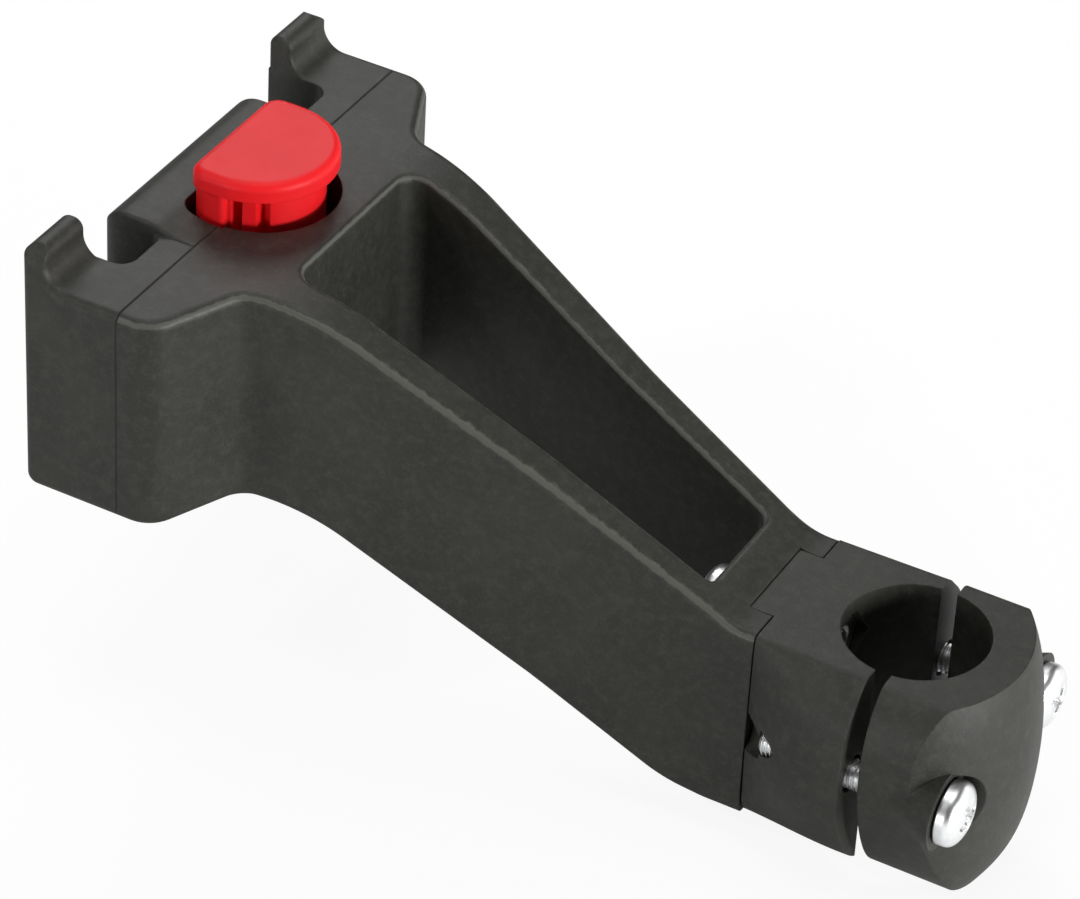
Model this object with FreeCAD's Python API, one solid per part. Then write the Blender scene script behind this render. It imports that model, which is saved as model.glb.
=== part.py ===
"""Bag mount for a bicycle's front stem: a forked moulding with a locking plate at one end and a tube clamp at the
other. Millimetres. X runs from the locking plate (negative) to the clamp and +Z is up. The origin lies on the clamp
bore's axis, in the top plane of the clamp. It is symmetric about the XZ plane."""
import math
import os

import FreeCAD
import Part

V = FreeCAD.Vector
X_AXIS = V(1, 0, 0)
Y_AXIS = V(0, 1, 0)
Z_AXIS = V(0, 0, 1)

# Head: the locking plate in front, the arm's broad end behind it
FRONT_X = -139.2
SEAM_X = -121.5
HEAD_HALF_WIDTH = 42.8
HEAD_BOTTOM_Z = -0.7
EDGE_R = 1.7
LOWER_EDGE_R = 2.2
CORNER_R = 1.7
DECK_Z = 39.0
DECK_OVERLAP = 1.0

# Hooks, notches and the raised middle of the locking plate
HOOK_INNER_Y = 30.8
HOOK_BACK_X = -135.0
HOOK_TOP_Z = 45.5
HOOK_TIP_R = 1.9
HOOK_SHOULDER_R = 4.5
HOOK_BLEND_R = 3.8
RAISED_HALF_WIDTH = 20.3
NOTCH_BACK_X = -127.2
NOTCH_FLOOR_Z = 24.0
RAISED_TOP_Z = 40.5
RAISED_CORNER_R = 3.0
RAISED_EDGE_R = 5.2

# Release button, its shaft in the head and its spring
BUTTON_X = -121.8
SPRING_X = -119.4
BUTTON_R = 13.0
BUTTON_FLAT_X = -127.6
BUTTON_TOP_Z = 47.9
BUTTON_RIM_Z = 44.5
BUTTON_STEM_R = 10.8
BUTTON_STEM_HALF_WIDTH = 12.2
BUTTON_BOTTOM_Z = 14.0
BUTTON_HOLLOW_R = 6.6
BUTTON_HOLLOW_TOP_Z = 37.0
SHAFT_R = 12.65
SHAFT_X = -121.0
SHAFT_FLAT_X = -128.7
SHAFT_HALF_WIDTH = 13.3
SHAFT_FLOOR_Z = 8.0
CATCH_HALF_WIDTH = 7.0
CATCH_BOTTOM_Z = 18.0
CATCH_TOP_Z = 26.0
CATCH_TIP_X = -141.7
CATCH_ROOT_X = -125.5
SPRING_COIL_R = 5.3
SPRING_WIRE_R = 0.7
SPRING_PITCH = 4.4
SPRING_WIRE_SIDES = 10

# Arm: two walls that run down from the head to the clamp
OPENING_REAR_X = -104.2
OPENING_END_X = -31.9
ARM_END_X = -21.0
ARM_END_BOTTOM_Z = -36.7
ARM_END_HALF_WIDTH = 15.2
TONGUE_X = -25.0
TONGUE_HALF_WIDTH = 8.7
JOINT_GAP = 0.12
SEAM_GAP = 0.25

# Tube clamp: block on the arm, loose cap, bore with an upright axis
BORE_R = 12.0
GAP_HALF = 1.4
CAP_AXIS_X = -4.0
SCREW_Y = 16.9
SCREW_Z = -17.6
SCREW_R = 2.5
SCREW_HEAD_R = 5.5
SCREW_SEAT_X = 14.9
SCREW_HEAD_HEIGHT = 3.9
SCREW_END_X = -16.9
SPOT_R = 6.3
BOSS_START_X = 5.5
BOSS_START_R = 3.4
BOSS_R = 6.8
INSERT_R = 3.2
INSERT_START_X = -8.4
INSERT_END_X = -2.2
POCKET_R = 4.3
POCKET_END_R = 2.4
POCKET_DEPTH = 3.9
POCKET_DROP = 1.2
FACET_Y = 15.3
FACET_SLOPE = 26.0
FACET_TILT = 3.5

# Bolt that holds the clamp block to the arm
BOLT_Z = -8.0
BOLT_R = 3.0
BOLT_HEAD_R = 5.5
BOLT_HEAD_HEIGHT = 3.8
WASHER_R = 6.2
WASHER_THICKNESS = 1.4
BOLT_NUT_FACE_X = -17.6
BOLT_NUT_AF = 10.0
BOLT_NUT_HEIGHT = 4.8

# Screws that hold the locking plate to the arm
PLATE_SCREW_R = 1.8
PLATE_SCREW_HEAD_R = 3.6
PLATE_SCREW_HEAD_HEIGHT = 2.4
PLATE_SCREW_SEAT_X = -135.2
PLATE_SCREW_PLACES = [(-36.0, 28.0, -116.0), (36.0, 28.0, -116.0), (-27.0, 9.0, -113.0), (27.0, 9.0, -113.0)]

FIT = 0.05


def rounded_wire(corners):
    """Closed wire through (point, radius) corners in one plane, each corner turned into a tangent arc."""
    count = len(corners)
    starts = []
    ends = []
    middles = []
    for index in range(count):
        point, radius = corners[index]
        before = corners[index - 1][0] - point
        after = corners[(index + 1) % count][0] - point
        before.normalize()
        after.normalize()
        half = before.getAngle(after) / 2
        if radius == 0:
            starts.append(point)
            ends.append(point)
            middles.append(None)
            continue
        reach = radius / math.tan(half)
        middle_line = before + after
        middle_line.normalize()
        starts.append(point + before * reach)
        ends.append(point + after * reach)
        middles.append(point + middle_line * (radius / math.sin(half) - radius))
    edges = []
    for index in range(count):
        if middles[index] is not None:
            edges.append(Part.Arc(starts[index], middles[index], ends[index]).toShape())
        follower = starts[(index + 1) % count]
        if (follower - ends[index]).Length > 1e-6:
            edges.append(Part.makeLine(ends[index], follower))
    return Part.Wire(edges)


def prism(corners, direction):
    """Solid from a rounded outline, pushed along one direction."""
    return Part.Face(rounded_wire(corners)).extrude(direction)


def rod(radius, start_x, end_x, y, z):
    """Cylinder along X."""
    return Part.makeCylinder(radius, end_x - start_x, V(start_x, y, z), X_AXIS)


def block(low, high):
    """Box between two opposite corners."""
    return Part.makeBox(high[0] - low[0], high[1] - low[1], high[2] - low[2], V(*low))


def hexagon(across_flats, start_x, end_x, y, z):
    """Six-sided prism along X with two corners level with its middle."""
    corner_r = across_flats / math.sqrt(3)
    points = []
    for step in range(7):
        angle = math.radians(60 * step)
        points.append(V(start_x, y + corner_r * math.cos(angle), z + corner_r * math.sin(angle)))
    return Part.Face(Part.makePolygon(points)).extrude(V(end_x - start_x, 0, 0))


def both_sides(corners):
    """A half outline given for positive Y, closed by its mirror image."""
    mirrored = [(V(p.x, -p.y, p.z), r) for p, r in reversed(corners)]
    return corners + mirrored


def edges_where(shape, test):
    """The edges whose middle point passes a test."""
    chosen = []
    for edge in shape.Edges:
        middle = edge.valueAt((edge.FirstParameter + edge.LastParameter) / 2)
        if test(middle, edge):
            chosen.append(edge)
    return chosen


def mirror_y(shape):
    return shape.mirror(V(0, 0, 0), Y_AXIS)


def half_disc(radius, height, x, z):
    """Upright half cylinder on the side of x that faces the arm."""
    disc = Part.makeCylinder(radius, height, V(x, 0, z))
    return disc.common(block((x, -radius - 1, z - 1), (x + radius + 1, radius + 1, z + height + 1)))


def button_shaft():
    """Upright shaft in the head, shared by the plate and the arm."""
    depth = V(0, 0, 60 - SHAFT_FLOOR_Z)
    round_part = half_disc(SHAFT_R, depth.z, SHAFT_X, SHAFT_FLOOR_Z)
    square_part = prism([
        (V(SHAFT_FLAT_X, -SHAFT_HALF_WIDTH, SHAFT_FLOOR_Z), 2.5),
        (V(SHAFT_X + 0.6, -SHAFT_HALF_WIDTH, SHAFT_FLOOR_Z), 0),
        (V(SHAFT_X + 0.6, SHAFT_HALF_WIDTH, SHAFT_FLOOR_Z), 0),
        (V(SHAFT_FLAT_X, SHAFT_HALF_WIDTH, SHAFT_FLOOR_Z), 2.5)], depth)
    return round_part.fuse(square_part).removeSplitter()


def make_arm_body():
    side = prism([
        (V(SEAM_X, -60, HEAD_BOTTOM_Z), 0),
        (V(-98.9, -60, HEAD_BOTTOM_Z), 35),
        (V(-33.0, -60, ARM_END_BOTTOM_Z), 25),
        (V(ARM_END_X, -60, ARM_END_BOTTOM_Z), 0),
        (V(ARM_END_X, -60, 0), 0),
        (V(-25.24, -60, 0), 12),
        (V(-99.24, -60, DECK_Z), 40),
        (V(SEAM_X, -60, DECK_Z), 0)], V(0, 120, 0))
    plan = prism(both_sides([
        (V(SEAM_X, HEAD_HALF_WIDTH, -60), 0),
        (V(-115.2, HEAD_HALF_WIDTH, -60), 6.2),
        (V(-108.1, 26.7, -60), 5),
        (V(-57.6, 18.2, -60), 90),
        (V(-30, ARM_END_HALF_WIDTH, -60), 25),
        (V(ARM_END_X, ARM_END_HALF_WIDTH, -60), 0)]), V(0, 0, 120))
    body = side.common(plan)
    rims = edges_where(body, lambda p, e: SEAM_X + 0.5 < p.x < ARM_END_X - 0.1 and not vertical(e))
    body = body.makeFillet(EDGE_R, rims)
    opening = prism(both_sides([
        (V(OPENING_REAR_X, 18.0, -60), 3.5),
        (V(-60, 12.0, -60), 60),
        (V(OPENING_END_X, 9.8, -60), 1.6)]), V(0, 0, 120))
    body = body.cut(opening)
    inner_rims = edges_where(body, lambda p, e: inside_opening_rim(p) and not vertical(e))
    body = body.makeFillet(1.2, inner_rims)
    body = body.cut(button_shaft())
    slot_half_width = TONGUE_HALF_WIDTH + JOINT_GAP
    slot = block((TONGUE_X, -slot_half_width, -60), (ARM_END_X + 1, slot_half_width, 20))
    slot_mouth = block((TONGUE_X - JOINT_GAP, -slot_half_width, -2), (ARM_END_X + 1, slot_half_width, 20))
    body = body.cut([slot, slot_mouth])
    body = body.cut(rod(BOLT_R + 0.3, OPENING_END_X - 2, ARM_END_X, 0, BOLT_Z))
    for y, z, tip_x in PLATE_SCREW_PLACES:
        body = body.cut(rod(PLATE_SCREW_R + FIT, SEAM_X - 1, tip_x + 1, y, z))
    return body.removeSplitter()


def vertical(edge):
    ends = edge.Vertexes
    if len(ends) < 2:
        return False
    step = ends[1].Point - ends[0].Point
    return abs(step.x) < 1e-3 and abs(step.y) < 1e-3


def raised_end_top(p, edge):
    """Whether an edge runs along the top of the raised middle's two ends."""
    return p.z > 30 and p.x < SEAM_X - 0.5 and abs(abs(p.y) - RAISED_HALF_WIDTH) < 0.01


def on_side(p, distance):
    """Whether a point lies this far from the XZ plane, on the locking plate."""
    return abs(abs(p.y) - distance) < 0.01 and FRONT_X - 0.1 < p.x < SEAM_X - 0.5


def inside_opening_rim(p):
    if not OPENING_REAR_X - 0.1 < p.x < OPENING_END_X + 0.1:
        return False
    return abs(p.y) < 18.1 - (p.x - OPENING_REAR_X) * 0.11


def plate_outline(top_z, top_corners):
    """Side outline of the plate, from its rounded lower front edge up to a top line of its own."""
    corners = [(V(SEAM_X, 0, HEAD_BOTTOM_Z), 0), (V(FRONT_X, 0, HEAD_BOTTOM_Z), LOWER_EDGE_R)]
    corners += [(V(x, 0, z), r) for x, z, r in top_corners]
    corners.append((V(SEAM_X, 0, top_z), 0))
    return corners


def plate_slice(corners, low_y, high_y):
    """A stretch of the plate with one side outline."""
    moved = [(V(p.x, low_y, p.z), r) for p, r in corners]
    return prism(moved, V(0, high_y - low_y, 0))


def outer_top(p, edge):
    """Whether an edge belongs to the top or bottom rim of the plate's outer side."""
    return on_side(p, HEAD_HALF_WIDTH) and p.x > FRONT_X + 0.1


def make_front_plate():
    hook_outline = plate_outline(DECK_Z, [
        (FRONT_X, HOOK_TOP_Z, HOOK_TIP_R),
        (HOOK_BACK_X, HOOK_TOP_Z, HOOK_TIP_R),
        (HOOK_BACK_X, DECK_Z, HOOK_BLEND_R)])
    hook = plate_slice(hook_outline, -HEAD_HALF_WIDTH, -HOOK_INNER_Y)
    hook = hook.makeFillet(EDGE_R, edges_where(hook, outer_top))
    hook = hook.makeFillet(0.7, edges_where(hook, lambda p, e: on_side(p, HOOK_INNER_Y) and p.z > DECK_Z + 1))
    deck_half = HOOK_INNER_Y + DECK_OVERLAP
    deck = plate_slice(plate_outline(DECK_Z, [(FRONT_X, DECK_Z, 0)]), -deck_half, deck_half)
    raised = plate_slice(plate_outline(DECK_Z, [
        (FRONT_X, RAISED_TOP_Z, RAISED_EDGE_R),
        (-129.0, RAISED_TOP_Z, 8),
        (-123.5, DECK_Z, 8)]), -RAISED_HALF_WIDTH, RAISED_HALF_WIDTH)
    raised_plan = prism([
        (V(FRONT_X, -RAISED_HALF_WIDTH, -10), RAISED_CORNER_R),
        (V(SEAM_X, -RAISED_HALF_WIDTH, -10), 0),
        (V(SEAM_X, RAISED_HALF_WIDTH, -10), 0),
        (V(FRONT_X, RAISED_HALF_WIDTH, -10), RAISED_CORNER_R)], V(0, 0, 70))
    below_notches = block((FRONT_X - 1, -HOOK_INNER_Y, -10), (SEAM_X + 1, HOOK_INNER_Y, NOTCH_FLOOR_Z))
    raised_top = raised.common(raised_plan).cut(below_notches)
    raised_top = raised_top.makeFillet(0.8, edges_where(raised_top, raised_end_top))
    middle_top = block((FRONT_X - 1, -RAISED_HALF_WIDTH, NOTCH_FLOOR_Z), (SEAM_X + 1, RAISED_HALF_WIDTH, 60))
    plate = deck.cut(middle_top).fuse([raised_top, hook, mirror_y(hook)]).removeSplitter()
    footprint = prism([
        (V(FRONT_X, -HEAD_HALF_WIDTH, -10), CORNER_R),
        (V(SEAM_X, -HEAD_HALF_WIDTH, -10), 0),
        (V(SEAM_X, HEAD_HALF_WIDTH, -10), 0),
        (V(FRONT_X, HEAD_HALF_WIDTH, -10), CORNER_R)], V(0, 0, 70))
    shoulders = prism([
        (V(FRONT_X - 1, -HEAD_HALF_WIDTH, -10), 0),
        (V(FRONT_X - 1, HEAD_HALF_WIDTH, -10), 0),
        (V(FRONT_X - 1, HEAD_HALF_WIDTH, HOOK_TOP_Z + 0.3), HOOK_SHOULDER_R),
        (V(FRONT_X - 1, -HEAD_HALF_WIDTH, HOOK_TOP_Z + 0.3), HOOK_SHOULDER_R)], V(40, 0, 0))
    plate = plate.common(footprint).common(shoulders)
    notch = prism([
        (V(FRONT_X - 2, RAISED_HALF_WIDTH, NOTCH_FLOOR_Z), 0),
        (V(NOTCH_BACK_X, RAISED_HALF_WIDTH, NOTCH_FLOOR_Z), 2.0),
        (V(NOTCH_BACK_X, HOOK_INNER_Y, NOTCH_FLOOR_Z), 3.0),
        (V(FRONT_X - 2, HOOK_INNER_Y, NOTCH_FLOOR_Z), 0)], V(0, 0, 40))
    plate = plate.cut([notch, mirror_y(notch)])
    plate = plate.cut(button_shaft())
    window = block((FRONT_X - 1, -CATCH_HALF_WIDTH - 0.4, CATCH_BOTTOM_Z - 5.4),
                   (SHAFT_FLAT_X + 1, CATCH_HALF_WIDTH + 0.4, CATCH_TOP_Z + 0.5))
    plate = plate.cut(window)
    for y, z, tip_x in PLATE_SCREW_PLACES:
        plate = plate.cut(rod(PLATE_SCREW_R + FIT, FRONT_X - 1, SEAM_X + 1, y, z))
        plate = plate.cut(rod(PLATE_SCREW_HEAD_R + 0.3, FRONT_X - 1, PLATE_SCREW_SEAT_X, y, z))
    return plate.removeSplitter()


def make_release_button():
    cap_height = V(0, 0, BUTTON_TOP_Z - BUTTON_RIM_Z)
    cap_square = prism([
        (V(BUTTON_FLAT_X, -BUTTON_R, BUTTON_RIM_Z), 3),
        (V(BUTTON_X, -BUTTON_R, BUTTON_RIM_Z), 0),
        (V(BUTTON_X, BUTTON_R, BUTTON_RIM_Z), 0),
        (V(BUTTON_FLAT_X, BUTTON_R, BUTTON_RIM_Z), 3)], cap_height)
    cap_round = half_disc(BUTTON_R, cap_height.z, BUTTON_X, BUTTON_RIM_Z)
    cap = cap_square.fuse(cap_round).removeSplitter()
    top_edges = edges_where(cap, lambda p, e: p.z > BUTTON_TOP_Z - 0.01)
    cap = cap.makeFillet(1.5, top_edges)
    stem_height = V(0, 0, BUTTON_RIM_Z - BUTTON_BOTTOM_Z)
    stem_square = prism([
        (V(BUTTON_FLAT_X + 0.1, -BUTTON_STEM_HALF_WIDTH, BUTTON_BOTTOM_Z), 3),
        (V(BUTTON_X + 0.6, -BUTTON_STEM_HALF_WIDTH, BUTTON_BOTTOM_Z), 0.8),
        (V(BUTTON_X + 0.6, BUTTON_STEM_HALF_WIDTH, BUTTON_BOTTOM_Z), 0.8),
        (V(BUTTON_FLAT_X + 0.1, BUTTON_STEM_HALF_WIDTH, BUTTON_BOTTOM_Z), 3)], stem_height)
    stem_round = half_disc(BUTTON_STEM_R, stem_height.z, BUTTON_X, BUTTON_BOTTOM_Z)
    button = cap.fuse([stem_square, stem_round]).removeSplitter()
    for slot_x in (-119.6, -115.7):
        groove = block((slot_x - 0.9, 7.2, 22), (slot_x + 0.9, 14, BUTTON_RIM_Z))
        button = button.cut([groove, mirror_y(groove)])
    catch = prism([
        (V(CATCH_ROOT_X, -CATCH_HALF_WIDTH, CATCH_BOTTOM_Z), 0),
        (V(CATCH_TIP_X + 1.5, -CATCH_HALF_WIDTH, CATCH_BOTTOM_Z), 1),
        (V(CATCH_TIP_X, -CATCH_HALF_WIDTH, CATCH_BOTTOM_Z + 1.5), 0.5),
        (V(CATCH_TIP_X, -CATCH_HALF_WIDTH, CATCH_BOTTOM_Z + 3.5), 1),
        (V(FRONT_X + 0.5, -CATCH_HALF_WIDTH, CATCH_TOP_Z), 1),
        (V(CATCH_ROOT_X, -CATCH_HALF_WIDTH, CATCH_TOP_Z), 0)], V(0, 2 * CATCH_HALF_WIDTH, 0))
    button = button.fuse(catch)
    hollow_height = BUTTON_HOLLOW_TOP_Z - BUTTON_BOTTOM_Z
    hollow = Part.makeCylinder(BUTTON_HOLLOW_R, hollow_height, V(SPRING_X, 0, BUTTON_BOTTOM_Z))
    return button.cut(hollow).removeSplitter()


def make_button_spring():
    """Compression spring between the shaft's floor and the button, its ends cut flat."""
    low = SHAFT_FLOOR_Z + FIT
    high = BUTTON_HOLLOW_TOP_Z - FIT
    helix = Part.makeHelix(SPRING_PITCH, high - low, SPRING_COIL_R)
    helix.translate(V(SPRING_X, 0, low))
    corners = []
    for step in range(SPRING_WIRE_SIDES + 1):
        angle = 2 * math.pi * step / SPRING_WIRE_SIDES
        corners.append(V(SPRING_X + SPRING_COIL_R + SPRING_WIRE_R * math.cos(angle), 0,
                         low + SPRING_WIRE_R * math.sin(angle)))
    spring = Part.Wire(helix).makePipeShell([Part.makePolygon(corners)], True, True)
    slab = Part.makeCylinder(20, high - low, V(SPRING_X, 0, low))
    return spring.common(slab)


def clamp_outline(x, half, bottom):
    """Closed outline in a plane across X: flat top, bulging flanks, rounded underside, as one smooth curve."""
    right = [V(x, y, z) for y, z in half]
    left = [V(x, -y, z) for y, z in reversed(half)]
    flank_down = Part.BSplineCurve()
    flank_down.interpolate(right + [V(x, 0, bottom)] + left)
    top = Part.makeLine(left[-1], right[0])
    return Part.Wire([flank_down.toShape(), top])


def flank_facet(side):
    """Flat facet cut into a flank where the clamp screw ends. It starts at the arm and runs out under the bulge."""
    tool = block((-2, 0, -40), (22, 20, 40))
    tool.rotate(V(0, 0, 0), X_AXIS, FACET_TILT)
    tool.rotate(V(0, 0, 0), Z_AXIS, FACET_SLOPE)
    tool.translate(V(ARM_END_X, FACET_Y, 0))
    return tool if side > 0 else mirror_y(tool)


def make_clamp_block():
    seam_half = [(14.1, 0.0), (14.8, -0.35), (15.1, -1.5), (15.2, -6.0), (15.25, -13.0), (15.25, -20.0),
                 (15.2, -26.0), (15.0, -31.0), (14.2, -35.6), (9.0, -37.5)]
    shoulder_half = [(14.2, 0.0), (14.9, -0.35), (15.9, -2.0), (17.6, -6.0), (18.6, -12.0), (18.7, -20.0),
                     (18.0, -26.0), (16.7, -31.0), (14.4, -35.8), (9.5, -38.5)]
    flank_half = [(14.3, 0.0), (15.0, -0.35), (16.5, -2.1), (19.2, -5.8), (20.9, -11.6), (21.0, -20.4),
                  (20.0, -26.0), (18.0, -31.0), (15.1, -35.8), (9.8, -39.4)]
    gap_half = [(14.3, 0.0), (15.1, -0.35), (16.9, -2.1), (19.9, -5.6), (21.7, -11.4), (21.8, -20.6),
                (20.8, -26.0), (18.6, -31.0), (15.3, -35.8), (10.0, -39.6)]
    body = Part.makeLoft([
        clamp_outline(ARM_END_X + SEAM_GAP, seam_half, -37.8),
        clamp_outline(-15.8, shoulder_half, -39.4),
        clamp_outline(-8.5, flank_half, -41.0),
        clamp_outline(-GAP_HALF, gap_half, -41.5)], True)
    for side in (-1, 1):
        body = body.cut(flank_facet(side))
    tongue = block((TONGUE_X, -TONGUE_HALF_WIDTH, -36.0), (ARM_END_X + 1, TONGUE_HALF_WIDTH, 0))
    body = body.fuse(tongue)
    bore = Part.makeCylinder(BORE_R, 80, V(0, 0, -60))
    body = body.cut(bore)
    body = body.cut(rod(BOLT_R + 0.1, TONGUE_X - 1, -5, 0, BOLT_Z))
    body = body.cut(hexagon(BOLT_NUT_AF + 0.2, BOLT_NUT_FACE_X, -5, 0, BOLT_Z))
    for y in (-SCREW_Y, SCREW_Y):
        body = body.cut(rod(SCREW_R + 0.15, SCREW_END_X - 0.3, 0, y, SCREW_Z))
        body = body.cut(rod(INSERT_R, INSERT_START_X, 0, y, SCREW_Z))
        lead = Part.makeCone(POCKET_R, POCKET_END_R, POCKET_DEPTH, V(ARM_END_X - 0.01, y, SCREW_Z - POCKET_DROP), X_AXIS)
        body = body.cut(lead)
    return body.removeSplitter()


def make_clamp_cap():
    gap_half = [(14.4, 0.0), (15.2, -0.35), (17.0, -2.0), (19.4, -6.0), (20.7, -13.0), (20.2, -20.0), (19.0, -25.0),
                (16.9, -30.4), (13.6, -36.0), (9.0, -40.0)]
    prism_part = Part.Face(clamp_outline(GAP_HALF, gap_half, -41.8)).extrude(V(30, 0, 0))
    profile = [(0.0, 2.0), (21.6, 2.0), (22.4, 0.0), (23.9, -5.0), (24.8, -11.0), (25.3, -18.0), (25.2, -25.0),
               (24.6, -31.0), (23.2, -36.5), (20.9, -41.0), (19.4, -43.5)]
    curve = Part.BSplineCurve()
    curve.interpolate([V(CAP_AXIS_X + r, 0, z) for r, z in profile[1:]])
    outer = curve.toShape()
    axis_low = V(CAP_AXIS_X, 0, profile[-1][1])
    axis_high = V(CAP_AXIS_X, 0, profile[0][1])
    half_plane = Part.Wire([
        Part.makeLine(axis_high, outer.Vertexes[0].Point), outer,
        Part.makeLine(outer.Vertexes[-1].Point, axis_low), Part.makeLine(axis_low, axis_high)])
    barrel = Part.Face(half_plane).revolve(V(CAP_AXIS_X, 0, 0), Z_AXIS, 360)
    cap = prism_part.common(barrel)
    for y in (-SCREW_Y, SCREW_Y):
        boss = Part.makeCone(BOSS_START_R, BOSS_R, SCREW_SEAT_X - BOSS_START_X, V(BOSS_START_X, y, SCREW_Z), X_AXIS)
        cap = cap.fuse(boss)
        cap = cap.cut(rod(SPOT_R, SCREW_SEAT_X, 30, y, SCREW_Z))
    cap = cap.cut(Part.makeCylinder(BORE_R, 80, V(0, 0, -60)))
    for y in (-SCREW_Y, SCREW_Y):
        cap = cap.cut(rod(SCREW_R + FIT, 0, 30, y, SCREW_Z))
    return cap.removeSplitter()


def cross_recess(tip_x, y, z, size):
    """Tapered cross in a screw head, cut from the head's top."""
    arms = None
    for turn in (0, 90):
        arm = prism([
            (V(tip_x - 1.9, y - 0.35 * size, z - 0.11 * size), 0),
            (V(tip_x + 1, y - size, z - 0.17 * size), 0),
            (V(tip_x + 1, y + size, z - 0.17 * size), 0),
            (V(tip_x - 1.9, y + 0.35 * size, z - 0.11 * size), 0)], V(0, 0, 0.3 * size))
        arm.rotate(V(tip_x, y, z), X_AXIS, turn + 20)
        arms = arm if arms is None else arms.fuse(arm)
    return arms


def pan_head_screw(radius, head_r, seat_x, head_height, tip_x, y, z):
    """Screw along X with its head towards +X: low domed head, cross recess, chamfered tip."""
    top_x = seat_x + head_height
    profile = [
        V(tip_x, 0, 0), V(tip_x, 0, radius - 0.5), V(tip_x + 0.5, 0, radius), V(seat_x, 0, radius),
        V(seat_x, 0, head_r - 0.2), V(seat_x + 0.2, 0, head_r), V(seat_x + 0.35 * head_height, 0, head_r)]
    lines = [Part.makeLine(a, b) for a, b in zip(profile, profile[1:])]
    dome = Part.Arc(profile[-1], V(seat_x + 0.86 * head_height, 0, 0.7 * head_r), V(top_x, 0, 0)).toShape()
    axis = Part.makeLine(V(top_x, 0, 0), profile[0])
    solid = Part.Face(Part.Wire(lines + [dome, axis])).revolve(V(0, 0, 0), X_AXIS, 360)
    solid.translate(V(0, y, z))
    return solid.cut(cross_recess(top_x, y, z, 0.55 * head_r))


def make_plate_screw(y, z, tip_x):
    """Screw along X with its head towards -X."""
    screw = pan_head_screw(PLATE_SCREW_R, PLATE_SCREW_HEAD_R, -PLATE_SCREW_SEAT_X, PLATE_SCREW_HEAD_HEIGHT,
                           -tip_x, y, z)
    return screw.mirror(V(0, 0, 0), X_AXIS)


def make_arm_bolt():
    """Bolt along X with its head in the arm's opening and its end in the nut."""
    screw = pan_head_screw(BOLT_R, BOLT_HEAD_R, -OPENING_END_X + WASHER_THICKNESS, BOLT_HEAD_HEIGHT,
                           -(BOLT_NUT_FACE_X + BOLT_NUT_HEIGHT), 0, BOLT_Z)
    return screw.mirror(V(0, 0, 0), X_AXIS)


def make_arm_bolt_washer():
    ring = rod(WASHER_R, OPENING_END_X - WASHER_THICKNESS, OPENING_END_X, 0, BOLT_Z)
    return ring.cut(rod(BOLT_R + 0.2, OPENING_END_X - 3, OPENING_END_X + 1, 0, BOLT_Z))


def make_arm_bolt_nut():
    end_x = BOLT_NUT_FACE_X + BOLT_NUT_HEIGHT
    nut = hexagon(BOLT_NUT_AF, BOLT_NUT_FACE_X, end_x, 0, BOLT_Z)
    return nut.cut(rod(BOLT_R, BOLT_NUT_FACE_X - 1, end_x + 1, 0, BOLT_Z))


def make_clamp_insert(y):
    ring = rod(INSERT_R, INSERT_START_X, INSERT_END_X, y, SCREW_Z)
    return ring.cut(rod(SCREW_R + FIT, INSERT_START_X - 1, INSERT_END_X + 1, y, SCREW_Z))


def make_parts():
    parts = {
        "arm_body": make_arm_body(),
        "front_plate": make_front_plate(),
        "release_button": make_release_button(),
        "button_spring": make_button_spring(),
        "clamp_block": make_clamp_block(),
        "clamp_cap": make_clamp_cap(),
        "arm_bolt": make_arm_bolt(),
        "arm_bolt_washer": make_arm_bolt_washer(),
        "arm_bolt_nut": make_arm_bolt_nut(),
    }
    for side, y in (("near", -SCREW_Y), ("far", SCREW_Y)):
        parts["clamp_screw_" + side] = pan_head_screw(
            SCREW_R, SCREW_HEAD_R, SCREW_SEAT_X, SCREW_HEAD_HEIGHT, SCREW_END_X, y, SCREW_Z)
        parts["clamp_insert_" + side] = make_clamp_insert(y)
    for number, (y, z, tip_x) in enumerate(PLATE_SCREW_PLACES, 1):
        parts["plate_screw_%d" % number] = make_plate_screw(y, z, tip_x)
    return parts


os.makedirs("parts", exist_ok=True)
for node, shape in make_parts().items():
    shape.exportStep("parts/%s.step" % node)
    box = shape.BoundBox
    print("%-18s solids %d valid %s volume %9.1f  x %.1f..%.1f y %.1f..%.1f z %.1f..%.1f" % (
        node, len(shape.Solids), shape.isValid(), shape.Volume,
        box.XMin, box.XMax, box.YMin, box.YMax, box.ZMin, box.ZMax))
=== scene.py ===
# %% [markdown]
# This lesson dresses a bicycle bag mount. The rigid shapes come in from the CAD frame, already in their places, and
# each gets the finish of its real material. The first cell loads that frame and keeps its box, because nothing that
# is added later may make the object larger.

# %% Load the frame
import math

import bmesh
import bpy
from mathutils import Matrix, Vector


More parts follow.
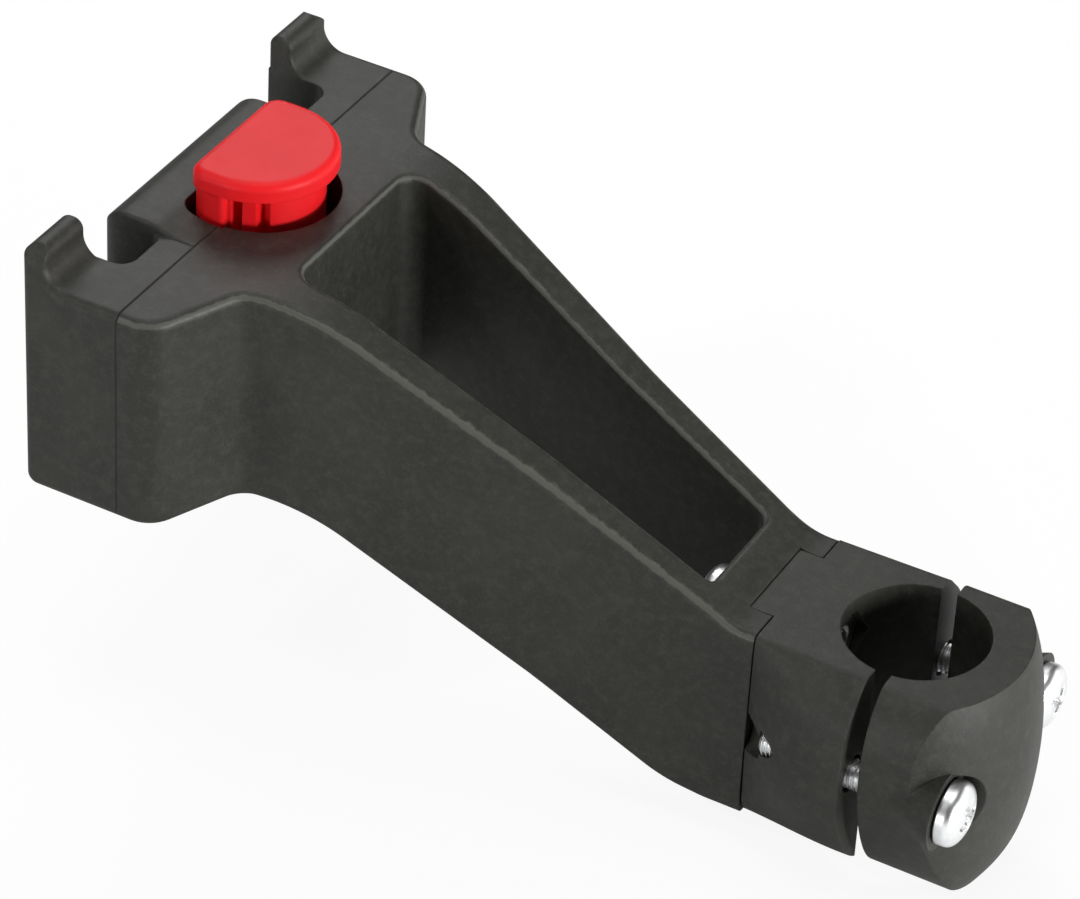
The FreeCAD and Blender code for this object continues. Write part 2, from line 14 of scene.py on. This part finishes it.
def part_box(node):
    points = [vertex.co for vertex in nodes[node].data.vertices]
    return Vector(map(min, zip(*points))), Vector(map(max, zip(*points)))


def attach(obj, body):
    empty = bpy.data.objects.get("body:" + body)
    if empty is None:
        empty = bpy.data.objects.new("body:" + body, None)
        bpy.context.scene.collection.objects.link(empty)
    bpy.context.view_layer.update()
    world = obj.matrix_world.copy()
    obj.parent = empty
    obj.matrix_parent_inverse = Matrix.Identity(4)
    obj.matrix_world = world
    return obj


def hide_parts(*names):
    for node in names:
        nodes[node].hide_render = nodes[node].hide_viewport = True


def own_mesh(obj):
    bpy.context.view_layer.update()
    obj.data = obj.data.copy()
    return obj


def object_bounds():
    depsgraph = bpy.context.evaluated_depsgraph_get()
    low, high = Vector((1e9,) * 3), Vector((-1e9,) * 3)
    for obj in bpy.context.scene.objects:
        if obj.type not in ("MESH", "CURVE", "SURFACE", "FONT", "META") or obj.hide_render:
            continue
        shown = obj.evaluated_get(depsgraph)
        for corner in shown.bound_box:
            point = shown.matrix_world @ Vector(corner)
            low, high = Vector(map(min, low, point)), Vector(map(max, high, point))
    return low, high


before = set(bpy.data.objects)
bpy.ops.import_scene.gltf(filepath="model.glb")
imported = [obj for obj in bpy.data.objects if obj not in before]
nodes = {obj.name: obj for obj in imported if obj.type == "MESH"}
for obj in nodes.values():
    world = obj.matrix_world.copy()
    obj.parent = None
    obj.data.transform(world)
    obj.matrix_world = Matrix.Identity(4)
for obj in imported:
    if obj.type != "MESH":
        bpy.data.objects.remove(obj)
cad_box = [list(corner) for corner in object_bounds()]
scene = bpy.context.scene
scene.view_settings.view_transform = "Standard"
MM = 0.001
print("nodes", sorted(nodes))


# %% [markdown]
# The camera stands where the photographer stood. Its place, direction and focal length were worked out from known
# points on the object, so the render lies closely over the photograph. The three direction vectors are the columns
# of the camera's rotation matrix.

# %% Camera
camera_data = bpy.data.cameras.new("camera")
camera_data.sensor_fit = "HORIZONTAL"
camera_data.sensor_width = 36.0
camera_data.lens = 168.52
camera_data.clip_start = 0.01
camera = bpy.data.objects.new("camera", camera_data)
scene.collection.objects.link(camera)
look = Vector((-0.36721, 0.71045, -0.60035)).normalized()
right = Vector((0.87094, 0.48921, 0.0462))
right = (right - look * right.dot(look)).normalized()
up = right.cross(look)
turn = Matrix((right, up, -look)).transposed()
camera.matrix_world = Matrix.Translation(Vector((230.41, -577.92, 496.2)) * MM) @ turn.to_4x4()
scene.camera = camera
print("camera at", tuple(round(c, 4) for c in camera.location))


# %% [markdown]
# A shader is easier to read as a sum than as a tangle of nodes. This small class wraps one output socket and gives
# it plus, minus, times and so on, each of which adds a Math node. Any other node comes from one method that takes
# the node's type, its settings and then what goes into its sockets.

# %% Shader expressions
class Wire:
    """One output socket, usable in Python sums."""

    def __init__(self, tree, socket):
        self.tree = tree
        self.socket = socket

    def math(self, operation, *others):
        return self.tree.node("ShaderNodeMath", {"operation": operation}, {
            index: value for index, value in enumerate((self,) + others)})

    def __add__(self, other):
        return self.math("ADD", other)

    def __radd__(self, other):
        return self.math("ADD", other)

    def __sub__(self, other):
        return self.math("SUBTRACT", other)

    def __rsub__(self, other):
        return self.tree.node("ShaderNodeMath", {"operation": "SUBTRACT"}, {0: other, 1: self})

    def __mul__(self, other):
        return self.math("MULTIPLY", other)

    def __rmul__(self, other):
        return self.math("MULTIPLY", other)

    def at_least(self, other):
        return self.math("MAXIMUM", other)

    def distance(self):
        return self.math("ABSOLUTE")

    def over(self, low, high):
        """0 below low, 1 above high, smooth between them."""
        return self.tree.node("ShaderNodeMapRange", {"interpolation_type": "SMOOTHSTEP"}, {
            "Value": self, "From Min": low, "From Max": high, "To Min": 0.0, "To Max": 1.0})


class Finish:
    """A material whose nodes are written as expressions."""

    def __init__(self, name):
        self.material = bpy.data.materials.new(name)
        self.material.use_nodes = True
        self.nodes = self.material.node_tree.nodes
        self.links = self.material.node_tree.links
        self.nodes.clear()
        self.surface = self.nodes.new("ShaderNodeBsdfPrincipled")
        self.output = self.nodes.new("ShaderNodeOutputMaterial")
        self.links.new(self.surface.outputs[0], self.output.inputs["Surface"])

    def node(self, kind, settings, inputs, output=0):
        made = self.nodes.new(kind)
        for name, value in settings.items():
            setattr(made, name, value)
        for name, value in inputs.items():
            self.feed(made.inputs[name], value)
        return Wire(self, made.outputs[output])

    def feed(self, socket, value):
        if isinstance(value, Wire):
            self.links.new(value.socket, socket)
        else:
            socket.default_value = value

    def set(self, **values):
        for name, value in values.items():
            self.feed(self.surface.inputs[name.replace("_", " ")], value)

    def place(self):
        return self.node("ShaderNodeTexCoord", {}, {}, "Object")

    def axis(self, vector, name):
        return self.node("ShaderNodeSeparateXYZ", {}, {0: vector}, name)

    def noise(self, vector, size_mm, detail=2.0, roughness=0.5):
        return self.node("ShaderNodeTexNoise", {}, {
            "Vector": vector, "Scale": 1.0 / (size_mm * MM), "Detail": detail, "Roughness": roughness}, 0)

    def cells(self, vector, size_mm):
        return self.node("ShaderNodeTexVoronoi", {}, {
            "Vector": vector, "Scale": 1.0 / (size_mm * MM)}, "Distance")

    def mix(self, factor, first, second):
        made = self.nodes.new("ShaderNodeMix")
        made.data_type = "RGBA"
        self.feed(made.inputs[0], factor)
        self.feed(made.inputs[6], first)
        self.feed(made.inputs[7], second)
        return Wire(self, made.outputs[2])

    def normal(self):
        return self.node("ShaderNodeNewGeometry", {}, {}, "Normal")

    def edge(self, radius_mm):
        """1 on edges sharper than a radius, 0 on flat ground."""
        soft = self.softened(radius_mm)
        plain = self.normal()
        level = self.node(
            "ShaderNodeVectorMath", {"operation": "DOT_PRODUCT"}, {0: soft, 1: plain}, "Value")
        return 1.0 - level

    def softened(self, radius_mm):
        """Normals that round every sharp edge off by a radius, as a mould does."""
        return self.node("ShaderNodeBevel", {"samples": 6}, {"Radius": radius_mm * MM})

    def bump(self, height, depth_mm, strength, normal):
        return self.node("ShaderNodeBump", {}, {
            "Strength": strength, "Distance": depth_mm * MM, "Height": height, "Normal": normal})


# %% [markdown]
# The body is nylon filled with short glass fibre. Its tool was spark eroded, so the whole skin is an even grain of
# about half a millimetre over a soft mottle. The pale ragged line along the arm's upper rims is a painted highlight,
# the light of a rounded edge put into the plastic's colour, and the sharp edges are made a little paler, partly as
# wear and partly as a painted highlight. Noise gives the grain, the slope of the surface finds the rims, and a Bevel
# node rounds the sharp edges that a mould never leaves sharp.

# %% Black moulded plastic
DARK = (0.018, 0.018, 0.014, 1)
PALE = (0.026, 0.026, 0.0205, 1)
# The next colour is the painted highlight along the rims, light on a rounded edge.
RIM_HIGHLIGHT_TONE = (0.115, 0.115, 0.1, 1.0)
SEAM_TONE = (0.003, 0.003, 0.003, 1.0)
SEAM_X = -121.5


def moulded_plastic(name, rim_highlight_strength):
    """The second argument is how strongly the rims get a painted highlight, from 0 to 1."""
    finish = Finish(name)
    place = finish.place()
    clouds = finish.noise(place, 14.0, 3.0, 0.6)
    mottle = finish.noise(place, 1.9, 4.0, 0.68)
    grain = finish.noise(place, 0.5, 3.0, 0.6)
    pits = finish.cells(place, 0.8)
    # Paler edges: partly wear, partly a painted highlight of light on rounded edges.
    edges = finish.edge(1.0).over(0.09, 0.3) * mottle.over(0.38, 0.6)
    # Painted highlight: rims that slope between top and side turn pale, as a rounded edge catches light.
    slope = finish.axis(finish.normal(), "Z") + 0.3 * finish.noise(place, 1.3, 3.0, 0.65) - 0.15
    painted_rim_highlight = rim_highlight_strength * (slope.over(0.28, 0.5) * (1.0 - slope.over(0.74, 0.86)))
    # A paler tone for the flecks of the mottle, for worn edges and for the painted edge highlight.
    fleck_wear_and_highlight_tone = tuple(c * 2.1 + 0.008 for c in PALE[:3]) + (1.0,)
    base = finish.mix(clouds.over(0.35, 0.68), DARK, PALE)
    base = finish.mix(mottle.over(0.42, 0.75) * 0.4 + grain.over(0.45, 0.75) * 0.3, base, fleck_wear_and_highlight_tone)
    base = finish.mix(edges * 0.6, base, fleck_wear_and_highlight_tone)
    base = finish.mix(painted_rim_highlight, base, RIM_HIGHLIGHT_TONE)
    height = grain * 0.6 + mottle * 0.7 + pits * 0.2
    along = finish.axis(place, "X")
    line = 1.0 - (along - SEAM_X * MM).distance().over(0.06 * MM, 0.26 * MM)
    base = finish.mix(line * 0.85, base, SEAM_TONE)
    height = height - line * 2.0
    finish.set(Base_Color=base, Roughness=0.47 + 0.16 * grain - 0.1 * painted_rim_highlight,
               Normal=finish.bump(height, 0.07, 0.85, finish.softened(0.4)))
    return finish.material


# The second number sets how strong the painted rim highlight is.
arm_plastic = moulded_plastic("arm_plastic", 0.8)
clamp_plastic = moulded_plastic("clamp_plastic", 0.06)
print("plastic nodes", len(arm_plastic.node_tree.nodes))


# %% [markdown]
# The push button is a smoother moulding in bright red, with a soft shine and faint scuffs from fingers. Only the
# roughness and a very shallow bump change over it, so it keeps its clean colour.

# %% Red plastic
def button_plastic():
    finish = Finish("button_red")
    place = finish.place()
    skin = finish.noise(place, 0.9, 3.0, 0.6)
    clouds = finish.noise(place, 9.0, 2.0, 0.5)
    scuffs = finish.noise(place, 2.4, 5.0, 0.7).over(0.56, 0.7)
    wear = finish.edge(0.6).over(0.02, 0.25)
    base = finish.mix(clouds.over(0.3, 0.7), (0.93, 0.008, 0.014, 1), (0.99, 0.012, 0.017, 1))
    base = finish.mix(wear * 0.25, base, (0.99, 0.05, 0.045, 1))
    finish.set(Base_Color=base, Roughness=0.46 + 0.1 * scuffs + 0.05 * skin, Specular_IOR_Level=0.28,
               Normal=finish.bump(skin, 0.012, 0.35, finish.softened(0.25)))
    return finish.material


button_red = button_plastic()
print("red nodes", len(button_red.node_tree.nodes))


# %% [markdown]
# The screws, washer and nut are zinc plated: bright, slightly blue, with a faint mottle where the plating took
# unevenly. The spring is plain drawn wire and the inserts are turned steel, blackened.

# %% Metals
def plated_metal(name, colour, dull, roughness, mottle_mm):
    finish = Finish(name)
    place = finish.place()
    mottle = finish.noise(place, mottle_mm, 4.0, 0.6)
    grain = finish.noise(place, 0.5, 3.0, 0.6)
    base = finish.mix(mottle.over(0.35, 0.7), colour, dull)
    finish.set(Base_Color=base, Metallic=1.0, Roughness=roughness + 0.14 * mottle,
               Normal=finish.bump(grain, 0.012, 0.4, finish.softened(0.12)))
    return finish.material


zinc = plated_metal("zinc_plate", (0.97, 0.98, 0.98, 1), (0.86, 0.87, 0.88, 1), 0.3, 1.8)
wire_steel = plated_metal("spring_wire", (0.55, 0.55, 0.56, 1), (0.4, 0.4, 0.42, 1), 0.25, 1.2)
dark_steel = plated_metal("insert_steel", (0.2, 0.2, 0.21, 1), (0.12, 0.12, 0.12, 1), 0.35, 1.2)
print("metals", zinc.name, wire_steel.name, dark_steel.name)


# %% [markdown]
# Each CAD node now gets its finish. A node's mesh is left exactly as it came in, and only the material in its slot
# changes. The washer and the nut also get a Bevel modifier, which turns their sharp rims into the small chamfers
# that pressed steel has.

# %% Dress the CAD nodes
def dress(node_name, material):
    mesh = nodes[node_name].data
    if not mesh.materials:
        mesh.materials.append(material)
    for index in range(len(mesh.materials)):
        mesh.materials[index] = material


def chamfer(node_name, width_mm):
    bevel = nodes[node_name].modifiers.new("chamfer", "BEVEL")
    bevel.width = width_mm * MM
    bevel.segments = 2
    bevel.limit_method = "ANGLE"
    bevel.angle_limit = math.radians(50)


finishes = {
    "arm_body": arm_plastic, "front_plate": clamp_plastic, "clamp_block": clamp_plastic,
    "clamp_cap": clamp_plastic, "release_button": button_red, "button_spring": wire_steel,
    "clamp_insert_near": dark_steel, "clamp_insert_far": dark_steel}
for node_name in nodes:
    dress(node_name, finishes.get(node_name, zinc))
for node_name in ("arm_bolt_washer", "arm_bolt_nut"):
    chamfer(node_name, 0.25)
print("dressed", len(nodes))


# %% [markdown]
# A screw is turned, rolled and punched, and its model follows the same three steps. The head and the shank are one
# profile turned about the screw's axis. The thread is a small triangle that runs up the shank as it turns, one pitch
# for each turn. The cross is pressed into the domed head: each point of the dome sinks by a depth that depends on
# how far it lies from the two crossing arms.

# %% Screw tools
def smooth_step(value, low, high):
    part = min(1.0, max(0.0, (value - low) / (high - low)))
    return part * part * (3 - 2 * part)


def cross_depth(u, v, head_r, depth, turn_deg):
    """How far a point of the dome sinks for the cross recess."""
    turn = math.radians(turn_deg)
    along = u * math.cos(turn) + v * math.sin(turn)
    across = v * math.cos(turn) - u * math.sin(turn)
    deepest = 0.0
    for length, width in ((along, across), (across, along)):
        inside = 1 - smooth_step(abs(width), 0.07 * head_r, 0.14 * head_r)
        taper = 1 - smooth_step(abs(length), 0.2 * head_r, 0.52 * head_r)
        deepest = max(deepest, inside * taper)
    return depth * deepest


def head_profile(head_r, height, rings):
    """Pan head from its seat to its crown, as (height, radius) pairs."""
    wall = 0.36 * height
    points = [(0.0, head_r - 0.3), (0.3, head_r), (wall, head_r)]
    for step in range(1, rings + 1):
        angle = 0.5 * math.pi * step / rings
        radius = head_r * max(0.0, math.cos(angle)) ** 0.8
        points.append((wall + (height - wall) * math.sin(angle) ** 0.9, radius))
    points[-1] = (height, 0.0)
    return points


def thread_ridge(shape, place, core_r, crest_r, pitch, start, end):
    """Rolled thread: one small triangle turned about the axis, and moved a pitch along it in each turn."""
    steps = 24
    count = round((end - start) / pitch * steps)
    half = 0.46 * pitch
    flat = 0.08 * pitch
    buried = core_r - 0.15
    corners = [shape.verts.new(place(start + along, 0.0, radius)) for along, radius in (
        (-half, buried), (-flat, crest_r), (flat, crest_r), (half, buried))]
    face = shape.faces.new(corners)
    travel = place(1.0, 0.0, 0.0) - place(0.0, 0.0, 0.0)
    bmesh.ops.spin(shape, geom=[face] + list(face.edges) + corners, cent=place(0.0, 0.0, 0.0),
                   axis=travel, dvec=travel * pitch / steps, angle=2 * math.pi * count / steps, steps=count)


def as_object(name, shape, material, body, replaced):
    """The finished mesh as a piece: smooth faces, crisp edges, its material and its body."""
    bmesh.ops.remove_doubles(shape, verts=shape.verts, dist=1e-6)
    bmesh.ops.recalc_face_normals(shape, faces=shape.faces)
    for face in shape.faces:
        face.smooth = True
    for edge in shape.edges:
        if len(edge.link_faces) == 2 and edge.calc_face_angle() > math.radians(38):
            edge.smooth = False
    mesh = bpy.data.meshes.new(name)
    shape.to_mesh(mesh)
    shape.free()
    mesh.materials.append(material)
    piece = bpy.data.objects.new(name, mesh)
    scene.collection.objects.link(piece)
    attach(piece, body)
    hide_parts(replaced)
    return piece


def machine_screw(node_name, body, facing, turn_deg, crest_r, core_r, pitch, head_r, height, sides, rings):
    """Screw in the place of a CAD screw. facing is +1 or -1, the way its head looks along X."""
    low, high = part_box(node_name)
    middle = (Vector(low) + Vector(high)) / 2
    crown_x = high[0] if facing > 0 else low[0]
    tip_x = low[0] if facing > 0 else high[0]
    seat_x = crown_x - facing * height * MM
    length = abs(seat_x - tip_x) / MM

    def place(along, side, rise):
        return Vector((seat_x + facing * along * MM, middle.y + side * MM, middle.z + rise * MM))

    shape = bmesh.new()
    shank = [(-length, 0.0), (-length, core_r - 0.35), (-length + 0.35, core_r), (-5.5, core_r),
             (-5.0, crest_r), (0.0, crest_r)]
    profile = shank + head_profile(head_r, height, rings)
    line = [shape.verts.new(place(along, 0.0, radius)) for along, radius in profile]
    for first, second in zip(line, line[1:]):
        shape.edges.new((first, second))
    bmesh.ops.spin(shape, geom=list(shape.verts) + list(shape.edges), cent=place(0, 0, 0), axis=(1, 0, 0),
                   angle=2 * math.pi, steps=sides, use_merge=True)
    for vert in shape.verts:
        rise = (vert.co - place(0, 0, 0)) / MM
        if facing * rise.x > 0.4 * height:
            vert.co.x -= facing * MM * cross_depth(rise.y, rise.z, head_r, 0.55 * height, turn_deg)
    thread_ridge(shape, place, core_r, crest_r, pitch, -length + 0.5, -5.4)
    return as_object(node_name + "_threaded", shape, zinc, body, node_name)


# %% Screws
CLAMP_SCREW = {
    "crest_r": 2.5, "core_r": 2.1, "pitch": 0.8, "head_r": 5.5, "height": 3.9, "sides": 112, "rings": 34}
ARM_BOLT = {
    "crest_r": 3.0, "core_r": 2.5, "pitch": 1.0, "head_r": 5.5, "height": 3.8, "sides": 96, "rings": 28}
PLATE_SCREW = {
    "crest_r": 1.8, "core_r": 1.4, "pitch": 1.4, "head_r": 3.6, "height": 2.4, "sides": 64, "rings": 22}
machine_screw("clamp_screw_near", "screw_near", 1, 20, **CLAMP_SCREW)
machine_screw("clamp_screw_far", "screw_far", 1, 65, **CLAMP_SCREW)
machine_screw("arm_bolt", "mount_body", -1, 35, **ARM_BOLT)
for number, turn_deg in ((1, 12), (2, 48), (3, 77), (4, 30)):
    machine_screw("plate_screw_%d" % number, "mount_body", -1, turn_deg, **PLATE_SCREW)


# %% [markdown]
# The spring under the button is round wire, wound by the same spin as a thread. The button presses it 5 mm
# shorter.

# %% Spring
COIL_R = 5.3
WIRE_R = 0.7
COIL_PITCH = 4.4
WIRE_SIDES = 12
TURN_STEPS = 36
spring_low, spring_high = (Vector(corner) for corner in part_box("button_spring"))
spring_foot = Vector(((spring_low.x + spring_high.x) / 2, 0.0, spring_low.z))
spring_length = spring_high.z - spring_low.z
coil = bmesh.new()
ring = []
for side in range(WIRE_SIDES):
    angle = 2 * math.pi * side / WIRE_SIDES
    ring.append(coil.verts.new(spring_foot + Vector((
        COIL_R + WIRE_R * math.cos(angle), 0.0, WIRE_R + WIRE_R * math.sin(angle))) * MM))
wire_end = coil.faces.new(ring)
coil_steps = int((spring_length / MM - 2 * WIRE_R) / COIL_PITCH * TURN_STEPS)
bmesh.ops.spin(coil, geom=[wire_end] + list(wire_end.edges) + ring, cent=spring_foot, axis=(0, 0, 1),
               dvec=Vector((0, 0, COIL_PITCH / TURN_STEPS)) * MM, angle=2 * math.pi * coil_steps / TURN_STEPS,
               steps=coil_steps)
wound = as_object("button_spring_wound", coil, wire_steel, "mount_body", "button_spring")
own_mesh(wound)
print("spring turns", round(coil_steps / TURN_STEPS, 2))


# %% [markdown]
# The studio is a large pale floor, with soft lamps above and behind the part, low lamps on its right and left, and a
# small one that draws a bright line along the rims. The floor is white to the camera and, on the clamp's side, in
# reflections too, so the screws gleam. It keeps the shadow that the part casts.

# %% Floor
FLOOR_Z = cad_box[0][2] - 0.0005
floor_mesh = bpy.data.meshes.new("floor")
floor_shape = bmesh.new()
bmesh.ops.create_grid(floor_shape, x_segments=1, y_segments=1, size=3.0)
floor_shape.to_mesh(floor_mesh)
floor_shape.free()
floor = bpy.data.objects.new("floor", floor_mesh)
floor.location = (0.0, 0.0, FLOOR_Z)
scene.collection.objects.link(floor)
floor_finish = Finish("floor_paper")
floor_finish.set(Base_Color=(0.82, 0.82, 0.82, 1), Roughness=0.9)
light_path = floor_finish.nodes.new("ShaderNodeLightPath")
shine = floor_finish.nodes.new("ShaderNodeMapRange")
floor_finish.feed(shine.inputs["Value"], floor_finish.axis(floor_finish.place(), "X"))
shine.inputs["From Min"].default_value = 0.0
shine.inputs["From Max"].default_value = 0.03
shine.inputs["To Min"].default_value = 0.05
shine.inputs["To Max"].default_value = 1.0
mirrored = Wire(floor_finish, light_path.outputs["Is Glossy Ray"]) * Wire(floor_finish, shine.outputs[0])
seen = Wire(floor_finish, light_path.outputs["Is Camera Ray"]).at_least(mirrored)
glow = floor_finish.nodes.new("ShaderNodeEmission")
glow.inputs["Color"].default_value = (1, 1, 1, 1)
glow.inputs["Strength"].default_value = 1.06
blend = floor_finish.nodes.new("ShaderNodeMixShader")
floor_finish.feed(blend.inputs[0], seen * 0.85)
floor_finish.links.new(floor_finish.surface.outputs[0], blend.inputs[1])
floor_finish.links.new(glow.outputs[0], blend.inputs[2])
floor_finish.links.new(blend.outputs[0], floor_finish.output.inputs["Surface"])
floor_mesh.materials.append(floor_finish.material)
print("floor at", round(FLOOR_Z, 4))

# %% World and lamps
world = bpy.data.worlds.new("studio")
world.use_nodes = True
scene.world = world
tree = world.node_tree
tree.nodes.clear()
ambient = tree.nodes.new("ShaderNodeBackground")
ambient.inputs["Color"].default_value = (1.0, 1.0, 1.0, 1)
ambient.inputs["Strength"].default_value = 0.03
plain_white = tree.nodes.new("ShaderNodeBackground")
plain_white.inputs["Color"].default_value = (1, 1, 1, 1)
plain_white.inputs["Strength"].default_value = 1.0
rays = tree.nodes.new("ShaderNodeLightPath")
choose = tree.nodes.new("ShaderNodeMixShader")
world_out = tree.nodes.new("ShaderNodeOutputWorld")
tree.links.new(rays.outputs["Is Camera Ray"], choose.inputs[0])
tree.links.new(ambient.outputs[0], choose.inputs[1])
tree.links.new(plain_white.outputs[0], choose.inputs[2])
tree.links.new(choose.outputs[0], world_out.inputs["Surface"])


def soft_lamp(name, place_m, size_m, watts):
    data = bpy.data.lights.new(name, "AREA")
    data.shape = "RECTANGLE"
    data.size = size_m[0]
    data.size_y = size_m[1]
    data.energy = watts
    lamp = bpy.data.objects.new(name, data)
    aim = Vector((-0.06, 0.0, 0.0)) - Vector(place_m)
    lamp.rotation_euler = aim.to_track_quat("-Z", "Y").to_euler()
    lamp.location = place_m
    scene.collection.objects.link(lamp)
    return lamp


soft_lamp("top", (-0.02, 0.0, 1.1), (0.7, 0.7), 4.3)
soft_lamp("back", (-0.6, 0.68, 0.74), (0.5, 0.5), 3.9)
soft_lamp("far right", (0.9, 0.9, 0.3), (1.3, 0.6), 3.6)
soft_lamp("right", (1.15, -0.15, 0.12), (0.5, 0.25), 10.5)
soft_lamp("left", (-0.35, -1.1, 0.1), (0.5, 0.2), 2.6)
soft_lamp("rim", (-0.6, -0.57, 0.7), (0.1, 0.1), 1.6)
